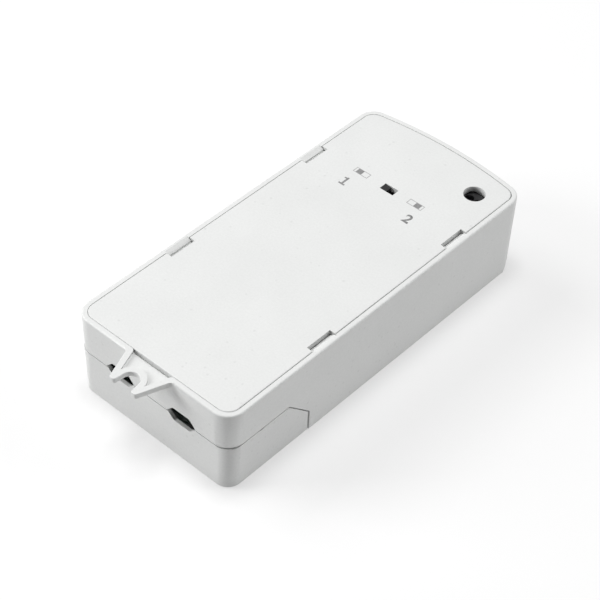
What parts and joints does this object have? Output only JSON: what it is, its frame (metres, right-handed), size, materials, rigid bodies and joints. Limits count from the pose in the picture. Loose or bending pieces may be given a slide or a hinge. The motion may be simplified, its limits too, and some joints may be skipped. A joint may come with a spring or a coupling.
{
  "type": "infrared motion switch",
  "caption": "Flat white plastic box with a screw ear, a flush panel with a mode slide switch and a sensor hole, and a removable wiring cover over screw terminals.",
  "frame": {"origin": "centre of the flat bottom face, halfway along the box without its ear", "axes": "+Z out of the flush panel, +Y away from the screw ear and the cable holes, +X to the side of the sensor hole"},
  "size_m": [0.042, 0.0964, 0.0202],
  "materials": {
    "shell_plastic": "fine matte moulded texture, white",
    "board_laminate": "solder-masked laminate, semi-matt green",
    "screw_steel": "zinc-plated, satin",
    "tinned_metal": "bright tinned wire and sheet",
    "contact_brass": "plain brass, satin",
    "black_plastic": "matte black moulding",
    "terminal_plastic": "matte green moulding",
    "relay_plastic": "matte dark blue moulding",
    "film_yellow": "smooth yellow case",
    "disc_blue": "dipped blue coating, glossy",
    "fuse_glass": "clear glass tube",
    "chip_plastic": "fine matte black moulding",
    "ferrite": "dark grey sintered ferrite, matt",
    "bobbin_plastic": "black moulding",
    "winding_tape": "yellow tape",
    "copper_wire": "enamelled copper winding",
    "capacitor_sleeve": "shrunk dark sleeve, glossy",
    "emitter_resin": "smooth tinted resin",
    "receiver_resin": "smooth black resin"
  },
  "bodies": {
    "case": {"housing": "shell_plastic", "top_panel": "shell_plastic", "circuit_board": "board_laminate", "board_screws": "screw_steel", "mode_switch_base": "black_plastic", "mode_switch_frame": "tinned_metal", "mode_switch_pins": "tinned_metal", "sensor_holder": "black_plastic", "infrared_emitter": "emitter_resin", "infrared_receiver": "receiver_resin", "sensor_leads": "tinned_metal", "input_terminal": "terminal_plastic", "output_terminal": "terminal_plastic", "input_contact_bars": "contact_brass", "output_contact_bars": "contact_brass", "relay": "relay_plastic", "relay_pins": "tinned_metal", "film_capacitor": "film_yellow", "fuse_tube": "fuse_glass", "fuse_caps": "tinned_metal", "varistor": "disc_blue", "bridge_rectifier": "chip_plastic", "power_chip": "chip_plastic", "transformer_core": "ferrite", "transformer_bobbin": "bobbin_plastic", "transformer_winding": "winding_tape", "transformer_pins": "tinned_metal", "input_capacitor": "capacitor_sleeve", "output_capacitor": "capacitor_sleeve", "choke_core": "ferrite", "choke_winding": "copper_wire", "control_chip": "chip_plastic", "voltage_regulator": "chip_plastic", "driver_transistor": "chip_plastic", "chip_resistors": "chip_plastic", "component_leads": "tinned_metal"},
    "wiring_cover": {"wiring_cover": "shell_plastic"},
    "mode_knob": {"mode_switch_knob": "black_plastic", "mode_switch_contact": "contact_brass"},
    "terminal_screw_1": {"terminal_screw_1": "screw_steel"},
    "wire_clamp_1": {"wire_clamp_1": "tinned_metal"},
    "terminal_screw_2": {"terminal_screw_2": "screw_steel"},
    "wire_clamp_2": {"wire_clamp_2": "tinned_metal"},
    "terminal_screw_3": {"terminal_screw_3": "screw_steel"},
    "wire_clamp_3": {"wire_clamp_3": "tinned_metal"},
    "terminal_screw_4": {"terminal_screw_4": "screw_steel"},
    "wire_clamp_4": {"wire_clamp_4": "tinned_metal"}
  },
  "joints": [
    {"name": "mode_knob_slide", "type": "slide", "parent": "case", "child": "mode_knob", "axis": [1, 0, 0], "range_m": [0, 0.00188]},
    {"name": "wiring_cover_slide", "type": "slide", "parent": "case", "child": "wiring_cover", "axis": [0, -1, 0], "range_m": [0, 0.024]},
    {"name": "terminal_screw_1_turn", "type": "hinge", "parent": "case", "child": "terminal_screw_1", "pos_m": [-0.01084, -0.03205, 0.005], "axis": [0, 0, 1], "range_deg": [0, 1260]},
    {"name": "wire_clamp_1_slide", "type": "slide", "parent": "case", "child": "wire_clamp_1", "axis": [0, 0, -1], "range_m": [0, 0.00158]},
    {"name": "terminal_screw_2_turn", "type": "hinge", "parent": "case", "child": "terminal_screw_2", "pos_m": [-0.00576, -0.03205, 0.005], "axis": [0, 0, 1], "range_deg": [0, 1260]},
    {"name": "wire_clamp_2_slide", "type": "slide", "parent": "case", "child": "wire_clamp_2", "axis": [0, 0, -1], "range_m": [0, 0.00158]},
    {"name": "terminal_screw_3_turn", "type": "hinge", "parent": "case", "child": "terminal_screw_3", "pos_m": [0.00576, -0.03205, 0.005], "axis": [0, 0, 1], "range_deg": [0, 1260]},
    {"name": "wire_clamp_3_slide", "type": "slide", "parent": "case", "child": "wire_clamp_3", "axis": [0, 0, -1], "range_m": [0, 0.00158]},
    {"name": "terminal_screw_4_turn", "type": "hinge", "parent": "case", "child": "terminal_screw_4", "pos_m": [0.01084, -0.03205, 0.005], "axis": [0, 0, 1], "range_deg": [0, 1260]},
    {"name": "wire_clamp_4_slide", "type": "slide", "parent": "case", "child": "wire_clamp_4", "axis": [0, 0, -1], "range_m": [0, 0.00158]}
  ],
  "couplings": [
    {"joint": "terminal_screw_1_turn", "follows": "wire_clamp_1_slide", "rad_per_m": 13963},
    {"joint": "terminal_screw_2_turn", "follows": "wire_clamp_2_slide", "rad_per_m": 13963},
    {"joint": "terminal_screw_3_turn", "follows": "wire_clamp_3_slide", "rad_per_m": 13963},
    {"joint": "terminal_screw_4_turn", "follows": "wire_clamp_4_slide", "rad_per_m": 13963}
  ]
}
